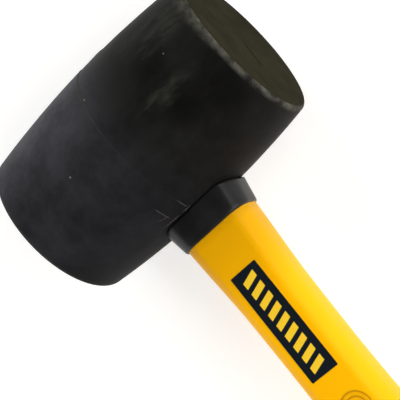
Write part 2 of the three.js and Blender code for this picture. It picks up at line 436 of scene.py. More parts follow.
def slotCutter(side):
    # a shallow bar that sinks into a striking face
    half, depth = head["slotHalfWidth"], head["slotDepth"]
    bm = bmesh.new()
    bmesh.ops.create_cube(bm, size=2)
    for vert in bm.verts:
        reach = head["halfLength"] + vert.co.y * depth
        x = head["slotEnd"] if vert.co.x > 0 else head["slotStart"]
        vert.co = Vector((x, side * reach, head["slotZ"] + vert.co.z * half))
    upright = [edge for edge in bm.edges if abs(edge.verts[0].co.y - edge.verts[1].co.y) > depth]
    bmesh.ops.bevel(bm, geom=upright, offset=half * 0.8, segments=4, profile=0.5, affect="EDGES",
                    material=-1)
    bmesh.ops.recalc_face_normals(bm, faces=bm.faces)
    return bm


def makeHead():
    bm = turned(headProfile(), (0, 1, 0), head["spinSteps"])
    for vert in bm.verts:
        unevenSkin(vert)
    bm = combine(bm, [eyeCutter(), slotCutter(1), slotCutter(-1)])
    bm = combine(bm, [flashRidge(*ridge) for ridge in head["flash"]], "UNION")
    inner = head["halfLength"] - 1.2 * head["slotDepth"]
    ground = head["nearFaceRadius"] - head["groundInset"]
    for face in bm.faces:
        centre = face.calc_center_median()
        if abs(centre.y) > inner and math.hypot(centre.x, centre.z) < ground:
            face.material_index = 1
    materials = [headRubber(), strikingRubber(), flashRubber()]
    layPiece("rubberHead", bm, materials, ["rubber_head"], 30)


def headRubber():
    # compression-moulded carbon-black rubber: a dull grey bloom on the far half, with a painted sheen on the
    # top of the head and painted shade towards the handle, the near half rubbed black by use with pale
    # smudges drawn along it, a scuffed rim that is partly a painted highlight, and a few flecks of dust
    look = {
        "bloomed": "#232326", "rubbed": "#131311", "patch": "#050504", "smudge": "#303029",
        "wornAndLit": "#504f47", "line": "#3a382e", "fleck": "#85836c",
        "bloomSize": 15.0, "smudgeSize": 3.4, "rimSize": 5.0, "grainSize": 0.55, "peelSize": 2.6,
        "cloudShades": (0.62, 1.4), "dull": 0.6, "polished": 0.55, "scuffed": 0.25,
        # beyond the parting line the rubbed half starts raggedly, and is fully rubbed from a place along Y
        "raggedness": 16.0, "rubbedFrom": 26.0,
        # the bloom's colour is raised on the top of the head as a painted sheen and lowered towards the
        # handle as painted shade: share at a place along X
        "sheenTop": (-27.0, 3.2), "sheenFrom": 0.0, "shadeFrom": 5.0, "shadeLow": (25.0, 0.5),
        # where each dark patch and each smudged area lies, how far it reaches and how strong it is
        "patches": [((13.5, 38.0, 25.5), 12.5, 1.0), ((11.0, 26.0, 28.0), 10.0, 0.8),
                    ((-9.0, 25.0, 28.5), 10.0, 0.8), ((14.6, -31.5, 26.3), 4.0, 0.35)],
        "smudges": [((3.4, 25.0, 30.0), 5.4, 0.85), ((-10.5, 27.0, 28.2), 2.6, 0.8),
                    ((-20.0, 31.0, 21.0), 8.5, 1.0), ((-13.5, 36.0, 25.0), 7.0, 0.9),
                    ((4.0, 0.0, 31.0), 26.0, 0.1)],
        "draw": 0.32,              # scale of the marks' pattern along the head: under 1 draws them out
        # the near rim's pale band, wear with a painted highlight on it, starts furthest from its face at the
        # top of the head:
        # distance from the face at a place along X. It is full at rimFull. The far rim's wear starts, is
        # full and is this strong
        "rimTop": (-18.0, 5.5), "rimLow": (6.0, 2.4), "rimFull": 0.7,
        "farRim": (2.0, 0.6), "farRimWear": 0.35,
        # the parting line is rubbed pale here and there, and less so towards the handle: share along X
        "lineTop": (-20.0, 0.85), "lineLow": (14.0, 0.08), "lineEdges": (0.4, 0.1),
        "flecks": [(-15.15, 0.9, 27.3), (0.8, -17.5, 31.0), (-6.6, 31.0, 29.1), (10.0, -30.0, 29.0)],
        "fleckSize": 0.26, "grainDepth": 0.03, "peelDepth": 0.03,
    }
    material, tree, space = startMaterial("mouldedHeadRubber")
    along = addNode(tree, "ShaderNodeSeparateXYZ", {0: space}, "Y")
    cloud = addNode(tree, "ShaderNodeTexNoise",
                    {"Vector": space, "Scale": 1 / look["bloomSize"], "Detail": 6.0, "Roughness": 0.72})
    ragged = addNode(tree, "ShaderNodeMath", {0: cloud, 1: look["raggedness"], 2: along},
                     operation="MULTIPLY_ADD")
    rubbed = addNode(tree, "ShaderNodeMapRange", {0: ragged, 1: 0.0, 2: look["rubbedFrom"]},
                     interpolation_type="SMOOTHSTEP")
    down = along.node.outputs["X"]
    # painted sheen lightens the bloom on the top of the head, and painted shade darkens it towards the
    # handle
    (topX, topSheen), (lowX, lowShade) = look["sheenTop"], look["shadeLow"]
    thick = addNode(tree, "ShaderNodeMapRange",
                    {0: down, 1: topX, 2: look["sheenFrom"], 3: topSheen, 4: 1.0})
    thin = addNode(tree, "ShaderNodeMapRange",
                   {0: down, 1: look["shadeFrom"], 2: lowX, 3: 1.0, 4: lowShade})
    bloomSheenAndShade = addNode(tree, "ShaderNodeMath", {0: thick, 1: thin}, operation="MULTIPLY")
    bloomed = addNode(tree, "ShaderNodeMix", {0: 1.0, 6: toLinear(look["bloomed"]), 7: bloomSheenAndShade}, 2,
                      data_type="RGBA", blend_type="MULTIPLY")
    base = addNode(tree, "ShaderNodeMix", {0: rubbed, 6: bloomed, 7: toLinear(look["rubbed"])}, 2,
                   data_type="RGBA")
    dark, pale = look["cloudShades"]
    cloudShade = addNode(tree, "ShaderNodeMapRange", {0: cloud, 1: 0.35, 2: 0.65, 3: dark, 4: pale})
    colour = addNode(tree, "ShaderNodeMix", {0: 1.0, 6: base, 7: cloudShade}, 2, data_type="RGBA",
                     blend_type="MULTIPLY")
    for place, reach, strength in look["patches"]:
        away = addNode(tree, "ShaderNodeVectorMath", {0: space, 1: place}, "Value", operation="DISTANCE")
        patch = addNode(tree, "ShaderNodeMapRange",
                        {0: away, 1: reach, 2: reach * 0.25, 3: 0.0, 4: strength},
                        interpolation_type="SMOOTHSTEP")
        colour = addNode(tree, "ShaderNodeMix", {0: patch, 6: colour, 7: toLinear(look["patch"])}, 2,
                         data_type="RGBA")
    # smudges run along the head, as it slides past the work
    drawn = addNode(tree, "ShaderNodeMapping", {"Vector": space, "Scale": (1, look["draw"], 1)})
    streaks = addNode(tree, "ShaderNodeTexNoise",
                      {"Vector": drawn, "Scale": 1 / look["smudgeSize"], "Detail": 6.0, "Roughness": 0.6})
    streak = addNode(tree, "ShaderNodeMapRange", {0: streaks, 1: 0.42, 2: 0.72},
                     interpolation_type="SMOOTHSTEP")
    smudge = None
    for (x, y, z), reach, strength in look["smudges"]:
        away = addNode(tree, "ShaderNodeVectorMath", {0: drawn, 1: (x, y * look["draw"], z)}, "Value",
                       operation="DISTANCE")
        here = addNode(tree, "ShaderNodeMapRange", {0: away, 1: reach, 2: reach * 0.3, 3: 0.0, 4: strength},
                       interpolation_type="SMOOTHSTEP")
        smudge = here if smudge is None else addNode(tree, "ShaderNodeMath", {0: smudge, 1: here},
                                                     operation="MAXIMUM")
    smudge = addNode(tree, "ShaderNodeMath", {0: smudge, 1: streak}, operation="MULTIPLY")
    rimNoise = addNode(tree, "ShaderNodeTexNoise",
                       {"Vector": space, "Scale": 1 / look["rimSize"], "Detail": 6.0, "Roughness": 0.65})
    # pale band along the rims: wear, which on the near rim is also a painted highlight
    half, (topX, topReach), (lowX, lowReach) = head["halfLength"], look["rimTop"], look["rimLow"]
    rimStarts = addNode(tree, "ShaderNodeMapRange",
                        {0: down, 1: topX, 2: lowX, 3: half - topReach, 4: half - lowReach})
    nearRim = addNode(tree, "ShaderNodeMapRange", {0: along, 1: rimStarts, 2: half - look["rimFull"]},
                      interpolation_type="SMOOTHSTEP")
    starts, full = look["farRim"]
    farRim = addNode(tree, "ShaderNodeMapRange",
                     {0: along, 1: starts - half, 2: full - half, 3: 0.0, 4: look["farRimWear"]},
                     interpolation_type="SMOOTHSTEP")
    rims = addNode(tree, "ShaderNodeMath", {0: nearRim, 1: farRim}, operation="MAXIMUM")
    rimBroken = addNode(tree, "ShaderNodeMapRange", {0: rimNoise, 1: 0.4, 2: 0.64, 3: 0.08, 4: 1.0})
    rimWearAndHighlight = addNode(tree, "ShaderNodeMath", {0: rims, 1: rimBroken}, operation="MULTIPLY")
    distance = addNode(tree, "ShaderNodeMath", {0: along}, operation="ABSOLUTE")
    outside, inside = look["lineEdges"]
    lineBand = addNode(tree, "ShaderNodeMapRange", {0: distance, 1: outside, 2: inside})
    (topX, topShare), (lowX, lowShare) = look["lineTop"], look["lineLow"]
    lineFade = addNode(tree, "ShaderNodeMapRange", {0: down, 1: topX, 2: lowX, 3: topShare, 4: lowShare})
    lineBroken = addNode(tree, "ShaderNodeMapRange", {0: rimNoise, 1: 0.4, 2: 0.6, 3: 0.25, 4: 1.0})
    lineWear = addNode(tree, "ShaderNodeMath", {0: lineBand, 1: lineBroken}, operation="MULTIPLY")
    lineWear = addNode(tree, "ShaderNodeMath", {0: lineWear, 1: lineFade}, operation="MULTIPLY")
    for share, mark in ((smudge, "smudge"), (rimWearAndHighlight, "wornAndLit"), (lineWear, "line")):
        colour = addNode(tree, "ShaderNodeMix", {0: share, 6: colour, 7: toLinear(look[mark])}, 2,
                         data_type="RGBA")
    for place in look["flecks"]:
        away = addNode(tree, "ShaderNodeVectorMath", {0: space, 1: place}, "Value", operation="DISTANCE")
        fleck = addNode(tree, "ShaderNodeMath", {0: away, 1: look["fleckSize"]}, operation="LESS_THAN")
        colour = addNode(tree, "ShaderNodeMix", {0: fleck, 6: colour, 7: toLinear(look["fleck"])}, 2,
                         data_type="RGBA")
    plain = addNode(tree, "ShaderNodeMapRange", {0: rubbed, 3: look["dull"], 4: look["polished"]})
    scuffed = addNode(tree, "ShaderNodeMath", {0: smudge, 1: rimWearAndHighlight}, operation="MAXIMUM")
    roughness = addNode(tree, "ShaderNodeMath", {0: scuffed, 1: look["scuffed"], 2: plain},
                        operation="MULTIPLY_ADD")
    peel = addNode(tree, "ShaderNodeTexNoise",
                   {"Vector": space, "Scale": 1 / look["peelSize"], "Detail": 2.0})
    grain = addNode(tree, "ShaderNodeTexNoise",
                    {"Vector": space, "Scale": 1 / look["grainSize"], "Detail": 3.0, "Roughness": 0.6})
    peelBump = addNode(tree, "ShaderNodeBump",
                       {"Height": peel, "Distance": look["peelDepth"] * millimetre})
    bump = addNode(tree, "ShaderNodeBump",
                   {"Height": grain, "Distance": look["grainDepth"] * millimetre, "Normal": peelBump})
    endMaterial(tree, {"Base Color": colour, "Roughness": roughness, "Normal": bump, "IOR": 1.52,
                       "Specular IOR Level": 0.045})
    return material


def flashRubber():
    # thin flash that was trimmed by hand: torn, so it scatters more light and looks pale and dry
    look = {"torn": "#3e3838", "dark": "#1c1a1a", "tearSize": 0.8}
    material, tree, space = startMaterial("trimmedFlashRubber")
    tears = addNode(tree, "ShaderNodeTexNoise",
                    {"Vector": space, "Scale": 1 / look["tearSize"], "Detail": 3.0, "Roughness": 0.7})
    share = addNode(tree, "ShaderNodeMapRange", {0: tears, 1: 0.4, 2: 0.65})
    colour = addNode(tree, "ShaderNodeMix", {0: share, 6: toLinear(look["torn"]), 7: toLinear(look["dark"])},
                     2, data_type="RGBA")
    endMaterial(tree, {"Base Color": colour, "Roughness": 0.8, "IOR": 1.52, "Specular IOR Level": 0.2})
    return material


def strikingRubber():
    # the same rubber where it strikes: ground matte by the work and stained olive brown by its dust
    look = {"stained": "#282517", "dark": "#1c1a10", "nick": "#4b4836", "stainSize": 12.0, "nickSize": 1.1,
            "depth": 0.06}
    material, tree, space = startMaterial("groundStrikingRubber")
    stains = addNode(tree, "ShaderNodeTexNoise",
                     {"Vector": space, "Scale": 1 / look["stainSize"], "Detail": 5.0, "Roughness": 0.6})
    share = addNode(tree, "ShaderNodeMapRange", {0: stains, 1: 0.35, 2: 0.7, 3: 0.0, 4: 0.8})
    stained = addNode(tree, "ShaderNodeMix",
                      {0: share, 6: toLinear(look["stained"]), 7: toLinear(look["dark"])}, 2,
                      data_type="RGBA")
    pits = addNode(tree, "ShaderNodeTexNoise",
                   {"Vector": space, "Scale": 1 / look["nickSize"], "Detail": 4.0, "Roughness": 0.7})
    nicks = addNode(tree, "ShaderNodeMapRange", {0: pits, 1: 0.66, 2: 0.8, 3: 0.0, 4: 0.5})
    colour = addNode(tree, "ShaderNodeMix", {0: nicks, 6: stained, 7: toLinear(look["nick"])}, 2,
                     data_type="RGBA")
    roughness = addNode(tree, "ShaderNodeMapRange", {0: stains, 1: 0.3, 2: 0.7, 3: 0.88, 4: 0.96})
    bump = addNode(tree, "ShaderNodeBump", {"Height": pits, "Distance": look["depth"] * millimetre})
    endMaterial(tree, {"Base Color": colour, "Roughness": roughness, "Normal": bump, "IOR": 1.52,
                       "Specular IOR Level": 0.03})
    return material


# the band under the head

collar = {
    "headHalf": (15.5, 10.75),
    "lowHalf": (13.95, 10.45),
    "end": collarSolid[1].x,
    "topRound": 0.9,
    "lowRound": 0.75,
    "seat": 0.05,              # how close its top lies on the barrel
    # its low mouth is eased by this much, down to this depth
    "mouthEase": 0.05,
    "mouthDepth": 0.3,
}


def collarLoop(x, inset):
    # the band's outline at x, between its wide end at the barrel and its low end, drawn in by inset
    share = (x - head["midRadius"]) / (collar["end"] - head["midRadius"])
    width, thick = [a + (b - a) * share - inset for a, b in zip(collar["headHalf"], collar["lowHalf"])]
    return roundedLoop(x, width, thick, flatShare(x))


def makeCollar():
    end, top, low = collar["end"], collar["topRound"], collar["lowRound"]

    def saddled(loop, lift):
        # the loop moved up against the barrel
        seated = []
        for point in loop:
            surface = math.sqrt(barrelRadius(point.y) ** 2 - point.z ** 2)
            seated.append(Vector((surface + collar["seat"] + lift, point.y, point.z)))
        return seated

    ease = collar["mouthEase"]
    loops = [handleLoop(end - collar["mouthDepth"], fitGap), handleLoop(end - ease, fitGap + ease)]
    for angle in spread(0, math.pi / 2, 6):
        loops.append(collarLoop(end - low * (1 - math.cos(angle)), low * (1 - math.sin(angle))))
    topLoops = []
    for angle in spread(0, math.pi / 2, 6):
        loop = collarLoop(head["midRadius"], top * (1 - math.cos(angle)))
        topLoops.append(saddled(loop, top * (1 - math.sin(angle))))
    lower = loops[-1]
    for share in spread(0, 1, 10)[1:-1]:
        loops.append([a.lerp(b, share) for a, b in zip(lower, topLoops[0])])
    loops += topLoops
    loops.append(saddled(handleLoop(end, fitGap), 0.0))
    loops.append(loops[0])
    layPiece("neckCollar", skin(loops), [collarRubber()], ["neck_collar"], 50)


def collarRubber():
    # injection-moulded thermoplastic rubber: smoother and a little shinier than the head
    look = {"rubber": "#131212", "dull": "#1b1a1a", "patchSize": 8.0, "grainSize": 0.4, "grainDepth": 0.018}
    material, tree, space = startMaterial("mouldedCollarRubber")
    patches = addNode(tree, "ShaderNodeTexNoise",
                      {"Vector": space, "Scale": 1 / look["patchSize"], "Detail": 3.0})
    share = addNode(tree, "ShaderNodeMapRange", {0: patches, 1: 0.4, 2: 0.7})
    colour = addNode(tree, "ShaderNodeMix",
                     {0: share, 6: toLinear(look["rubber"]), 7: toLinear(look["dull"])}, 2,
                     data_type="RGBA")
    roughness = addNode(tree, "ShaderNodeMapRange", {0: share, 3: 0.3, 4: 0.42})
    grain = addNode(tree, "ShaderNodeTexNoise",
                    {"Vector": space, "Scale": 1 / look["grainSize"], "Detail": 2.0})
    bump = addNode(tree, "ShaderNodeBump", {"Height": grain, "Distance": look["grainDepth"] * millimetre})
    endMaterial(tree, {"Base Color": colour, "Roughness": roughness, "Normal": bump, "IOR": 1.5,
                       "Specular IOR Level": 0.22})
    return material


# the yellow jacket

jacket = {
    "tangEase": [(0.0, 0.35), (0.12, 0.1), (0.4, 0.0)],    # places from the tang's end, each drawn in by
    "neckReach": 0.2,          # the tang stops and the shoulder starts this far from the neck
    "shoulderInset": 2.0,
    "shoulderRound": 0.8,
    "shoulderEnd": 34.0,
    "endEase": 0.6,
    "ringX": 110.4,
    "ringY": 1.0,
    "ringRadii": (5.6, 4.0),
    "ringWidth": 0.75,
    "ringDepth": 0.3,
    "wedgeHead": 1.7,
    "wedgeTip": 0.8,
    "wedgeDepth": 15.0,
    "wedgeHalfHeight": 4.8,
    "wedgeSunk": 0.4,
    "wedgeEdge": 0.18,
    "cutBeyond": 3.0,          # how far the cutters run past the tang's end
}


def jacketLoops():
    end, neck, reach = tang["end"], tang["neck"], jacket["neckReach"]
    gripStart, jacketEnd = gripSolid[0].x, jacketSolid[1].x
    loops = [tangLoop(end + along, -inset) for along, inset in jacket["tangEase"]]
    loops += [tangLoop(x) for x in spread(end + 2, neck - reach, 16)]
    # shoulder that stops against the head
    shoulder, seam = jacket["shoulderRound"], handle["moldLine"]
    loops.append(handleLoop(neck + reach, -jacket["shoulderInset"]))
    for angle in spread(0, math.pi / 2, 5):
        x = neck + reach + shoulder * (1 - math.cos(angle))
        loops.append(handleLoop(x, -shoulder * (1 - math.sin(angle)), seam))
    loops += [handleLoop(x, 0, seam) for x in spread(jacket["shoulderEnd"], gripStart - fitGap, 70)]
    # under the grip it is thinner by the grip's wall
    wall, ease = grip["wall"], jacket["endEase"]
    loops += [handleLoop(x, -wall) for x in spread(gripStart + grip["endGap"], jacketEnd - ease, 44)]
    loops.append(handleLoop(jacketEnd, -wall - ease))
    return closingLoops(loops[0])[::-1] + loops + closingLoops(loops[-1])


def wedgeSolid(side, grow, reach=0.0):
    # a slim taper between the rod and the side of the tang; grow widens it into its slot
    start = tang["end"] + jacket["wedgeSunk"] - reach
    end = tang["end"] + jacket["wedgeDepth"] + grow
    middle = side * (coreSolid[1].y + tang["endHalf"][0]) / 2
    bm = bmesh.new()
    bmesh.ops.create_cube(bm, size=2)
    for vert in bm.verts:
        atTip = vert.co.x > 0
        halfWidth = (jacket["wedgeTip"] if atTip else jacket["wedgeHead"]) / 2 + grow
        vert.co = Vector((end if atTip else start, middle + vert.co.y * halfWidth,
                          vert.co.z * (jacket["wedgeHalfHeight"] + grow)))
    bmesh.ops.recalc_face_normals(bm, faces=bm.faces)
    return bm


def ringMiddle():
    return (jacket["ringX"], jacket["ringY"], handleThickness(jacket["ringX"]))


def ringCutter(radius):
    # a shallow round-bottomed groove in the flat front
    half, depth, above = jacket["ringWidth"] / 2, jacket["ringDepth"], 1.0
    middle = radius - half
    profile = [(middle + half * math.cos(a), -depth * math.sin(a)) for a in spread(0, math.pi, 8)]
    profile = [(middle + half, above)] + profile + [(middle - half, above), (middle + half, above)]
    return turned(profile, (0, 0, 1), 96, ringMiddle())


def rodCutter():
    radius = coreSolid[1].y + fitGap
    start, end = tang["end"] - jacket["cutBeyond"], coreSolid[1].x + fitGap
    return turned([(0, start), (radius, start), (radius, end), (0, end)], (1, 0, 0), 64)


def makeJacket():
    cutters = [rodCutter()] + [wedgeSolid(side, fitGap, jacket["cutBeyond"]) for side in (1, -1)]
    cutters += [ringCutter(radius) for radius in jacket["ringRadii"]]
    bm = combine(skin(jacketLoops()), cutters)
    layPiece("handleJacket", bm, [jacketPlastic()], ["handle_jacket"], 35)


def jacketPlastic():
    # injection-moulded polypropylene, deep amber yellow: semi-gloss with a faint orange peel, a little
    # grime where it meets the band, and fine scratches along the handle
    look = {
        "yellow": "#fbb800", "warm": "#f7ad00", "grimeAndShade": "#6e420a", "flowSize": 34.0, "peelSize": 1.9,
        "neckShadeReach": 34.0, "neckShadeLevel": 0.78,
        "grimeSize": 10 / 7, "grimeReach": 3.0, "grimeUnder": 0.2, "grimeShare": 0.45,
        # a thin film inside the outer ring, and dirt with painted shade that fades between two places across
        # each groove
        "ringDirtAndShade": 0.42, "filmShare": 0.3, "filmEdges": (0.6, -0.2), "grooveDirtAndShadeEdges": (0.65, 0.2),
        "scratchSize": 0.5, "draw": 0.06, "peelDepth": 0.02, "scratchDepth": 0.008,
    }
    material, tree, space = startMaterial("mouldedYellowPolypropylene")
    along = addNode(tree, "ShaderNodeSeparateXYZ", {0: space}, "X")
    # painted shade: the neck is darkened where the head shades it, fading out down the handle
    bandEnd = collar["end"]
    neckShade = addNode(tree, "ShaderNodeMapRange",
                   {0: along, 1: bandEnd, 2: bandEnd + look["neckShadeReach"], 3: look["neckShadeLevel"], 4: 1.0},
                   interpolation_type="SMOOTHSTEP")
    flow = addNode(tree, "ShaderNodeTexNoise",
                   {"Vector": space, "Scale": 1 / look["flowSize"], "Detail": 2.0})
    flowShare = addNode(tree, "ShaderNodeMapRange", {0: flow, 1: 0.35, 2: 0.65, 3: 0.0, 4: 0.5})
    plain = addNode(tree, "ShaderNodeMix",
                    {0: flowShare, 6: toLinear(look["yellow"]), 7: toLinear(look["warm"])}, 2,
                    data_type="RGBA")
    plain = addNode(tree, "ShaderNodeMix", {0: 1.0, 6: plain, 7: neckShade}, 2, data_type="RGBA",
                    blend_type="MULTIPLY")
    nearBand = addNode(tree, "ShaderNodeMapRange",
                       {0: along, 1: bandEnd + look["grimeReach"], 2: bandEnd - look["grimeUnder"], 3: 0.0,
                        4: look["grimeShare"]})
    grimeNoise = addNode(tree, "ShaderNodeTexNoise",
                         {"Vector": space, "Scale": 1 / look["grimeSize"], "Detail": 4.0})
    grimeAndShade = addNode(tree, "ShaderNodeMath", {0: nearBand, 1: grimeNoise}, operation="MULTIPLY")
    # dirt has settled in the moulded rings, and painted shade darkens each groove
    ringAway = addNode(tree, "ShaderNodeVectorMath", {0: space, 1: ringMiddle()}, "Value",
                       operation="DISTANCE")
    outside, inside = [jacket["ringRadii"][0] + edge for edge in look["filmEdges"]]
    ringBrowning = addNode(tree, "ShaderNodeMapRange",
                      {0: ringAway, 1: outside, 2: inside, 3: 0.0, 4: look["ringDirtAndShade"] * look["filmShare"]})
    grimeAndShade = addNode(tree, "ShaderNodeMath", {0: grimeAndShade, 1: ringBrowning}, operation="MAXIMUM")
    # each groove is painted darker: dirt and painted shade
    outside, inside = [edge * jacket["ringWidth"] for edge in look["grooveDirtAndShadeEdges"]]
    for radius in jacket["ringRadii"]:
        off = addNode(tree, "ShaderNodeMath", {0: ringAway, 1: radius - jacket["ringWidth"] / 2},
                      operation="SUBTRACT")
        off = addNode(tree, "ShaderNodeMath", {0: off}, operation="ABSOLUTE")
        ringBrowning = addNode(tree, "ShaderNodeMapRange",
                          {0: off, 1: outside, 2: inside, 3: 0.0, 4: look["ringDirtAndShade"]})
        grimeAndShade = addNode(tree, "ShaderNodeMath", {0: grimeAndShade, 1: ringBrowning}, operation="MAXIMUM")
    colour = addNode(tree, "ShaderNodeMix", {0: grimeAndShade, 6: plain, 7: toLinear(look["grimeAndShade"])}, 2,
                     data_type="RGBA")
    drawn = addNode(tree, "ShaderNodeMapping", {"Vector": space, "Scale": (look["draw"], 1, 1)})
    scratches = addNode(tree, "ShaderNodeTexNoise",
                        {"Vector": drawn, "Scale": 1 / look["scratchSize"], "Detail": 3.0, "Roughness": 0.7})
    roughness = addNode(tree, "ShaderNodeMapRange", {0: scratches, 1: 0.35, 2: 0.7, 3: 0.32, 4: 0.44})
    peel = addNode(tree, "ShaderNodeTexNoise",
                   {"Vector": space, "Scale": 1 / look["peelSize"], "Detail": 1.0})
    peelBump = addNode(tree, "ShaderNodeBump",
                       {"Height": peel, "Distance": look["peelDepth"] * millimetre})
    bump = addNode(tree, "ShaderNodeBump",
                   {"Height": scratches, "Distance": look["scratchDepth"] * millimetre, "Normal": peelBump})
    endMaterial(tree, {"Base Color": colour, "Roughness": roughness, "Normal": bump, "IOR": 1.49,
                       "Specular IOR Level": 0.09})
    return material


# inside the eye: rod, resin and wedges

eye = {
    "resinTop": 0.1,           # how far the resin stands over the tang's end
    "resinSag": 0.55,
    "resinEnd": 29.2,
    "rodEdge": 0.25,
    "sawMark": 0.06,
}


def makeCore():
    radius, start, end = coreSolid[1].y, coreSolid[0].x, coreSolid[1].x
    edge = eye["rodEdge"]
    rings = [(r, start) for r in spread(0, radius - edge, 12)]
    rings += [(radius, start + edge)] + [(radius, x) for x in spread(start + 4, end - 4, 30)]
    rings += [(radius, end - edge), (radius - edge, end), (radius / 2, end), (0, end)]
    bm = turned(rings, (1, 0, 0), 64)
    for vert in bm.verts:
        if vert.co.x < start + 0.01:
            # saw marks across the cut end
            mark = noise.noise(Vector((vert.co.y * 0.4, vert.co.z * 2.2, 3.0)))
            vert.co.x += eye["sawMark"] * (0.5 + 0.5 * mark)
    layPiece("fibreglassCore", bm, [sawnFibreglass()], ["fibreglass_core"])


def sawnFibreglass():
    # pultruded glass fibre in polyester: pale greenish straw, fibres along the rod, dull where it is sawn
    look = {"resin": "#b3a469", "fibre": "#e3dcb2", "dirt": "#6d6034", "fibreSize": 0.35, "draw": 0.03,
            "depth": 0.04, "smearSize": 10 / 3}
    material, tree, space = startMaterial("pultrudedFibreglass")
    # cells stretched along the rod are dots on its sawn end
    drawn = addNode(tree, "ShaderNodeMapping", {"Vector": space, "Scale": (look["draw"], 1, 1)})
    fibres = addNode(tree, "ShaderNodeTexVoronoi", {"Vector": drawn, "Scale": 1 / look["fibreSize"]})
    share = addNode(tree, "ShaderNodeMapRange", {0: fibres, 1: 0.15, 2: 0.6, 3: 1.0, 4: 0.0})
    plain = addNode(tree, "ShaderNodeMix",
                    {0: share, 6: toLinear(look["resin"]), 7: toLinear(look["fibre"])}, 2,
                    data_type="RGBA")
    smear = addNode(tree, "ShaderNodeTexNoise",
                    {"Vector": space, "Scale": 1 / look["smearSize"], "Detail": 4.0})
    dirty = addNode(tree, "ShaderNodeMapRange", {0: smear, 1: 0.5, 2: 0.75, 3: 0.0, 4: 0.6})
    colour = addNode(tree, "ShaderNodeMix", {0: dirty, 6: plain, 7: toLinear(look["dirt"])}, 2,
                     data_type="RGBA")
    bump = addNode(tree, "ShaderNodeBump", {"Height": share, "Distance": look["depth"] * millimetre})
    endMaterial(tree, {"Base Color": colour, "Roughness": 0.6, "Normal": bump, "IOR": 1.55})
    return material


def makeBond():
    start, end = tang["end"] - eye["resinTop"], eye["resinEnd"]
    outside, inside = head["eyeGrow"] - fitGap, fitGap
    loops = [tangLoop(end, inside), tangLoop(end, outside)]
    loops += [tangLoop(x, outside) for x in spread(end - 1, start + 0.5, 14)]
    # the cast top clings to both walls and sags between them
    for share in spread(0, 1, 10):
        sag = eye["resinSag"] * (1 - (2 * share - 1) ** 2)
        loops.append(tangLoop(start + sag, outside + (inside - outside) * share))
    loops += [tangLoop(x, inside) for x in spread(start + 1, end, 14)]
    layPiece("eyeBond", skin(loops), [castResin()], ["eye_bond"], 60)


def castResin():
    # epoxy poured round the tang: dark amber, glossy, with a few small bubbles
    look = {"resin": "#2c2114", "pale": "#4a3820", "cloudSize": 4.0, "bubbleSpacing": 1.3,
            "bubbleSize": 0.32, "bubbleDepth": 0.08}
    material, tree, space = startMaterial("castEpoxyResin")
    cloud = addNode(tree, "ShaderNodeTexNoise",
                    {"Vector": space, "Scale": 1 / look["cloudSize"], "Detail": 3.0})
    colour = addNode(tree, "ShaderNodeMix",
                     {0: cloud, 6: toLinear(look["resin"]), 7: toLinear(look["pale"])}, 2, data_type="RGBA")
    bubbles = addNode(tree, "ShaderNodeTexVoronoi", {"Vector": space, "Scale": 1 / look["bubbleSpacing"]})
    dimple = addNode(tree, "ShaderNodeMapRange", {0: bubbles, 1: 0.0, 2: look["bubbleSize"]})
    bump = addNode(tree, "ShaderNodeBump", {"Height": dimple, "Distance": look["bubbleDepth"] * millimetre})
    endMaterial(tree, {"Base Color": colour, "Roughness": 0.16, "Normal": bump, "IOR": 1.55})
    return material


def makeWedges():
    material = wedgePlastic()
    for side, name, node in ((1, "wedgeNear", "tang_wedge_near"), (-1, "wedgeFar", "tang_wedge_far")):
        bm = wedgeSolid(side, 0.0)
        bmesh.ops.bevel(bm, geom=bm.edges[:], offset=jacket["wedgeEdge"], segments=2, profile=0.5,
                        affect="EDGES", material=-1)
        layPiece(name, bm, [material], [node])


def wedgePlastic():
    # moulded nylon: matte black, with the bruising of the hammer that drove it in
    look = {"nylon": "#19191b", "bruise": "#4b4a48", "bruiseSize": 1.2, "depth": 0.05}
    material, tree, space = startMaterial("mouldedNylonWedge")
    marks = addNode(tree, "ShaderNodeTexNoise",
                    {"Vector": space, "Scale": 1 / look["bruiseSize"], "Detail": 4.0, "Roughness": 0.7})
    share = addNode(tree, "ShaderNodeMapRange", {0: marks, 1: 0.5, 2: 0.8, 3: 0.0, 4: 0.8})
    colour = addNode(tree, "ShaderNodeMix",
                     {0: share, 6: toLinear(look["nylon"]), 7: toLinear(look["bruise"])}, 2,
                     data_type="RGBA")
    bump = addNode(tree, "ShaderNodeBump", {"Height": marks, "Distance": look["depth"] * millimetre})
    endMaterial(tree, {"Base Color": colour, "Roughness": 0.55, "Normal": bump, "IOR": 1.53})
    return material


# the label on the front

label = {
    "thick": 0.14,
    "cornerRadius": 0.35,
    "bars": 9,
    "barWidth": 2.4,
    "barPitch": 4.15,
    "barHalfHeight": 2.75,
    "barLean": 0.32,           # how far a bar leans along X for each millimetre across
    "inkHeight": 0.03,
}


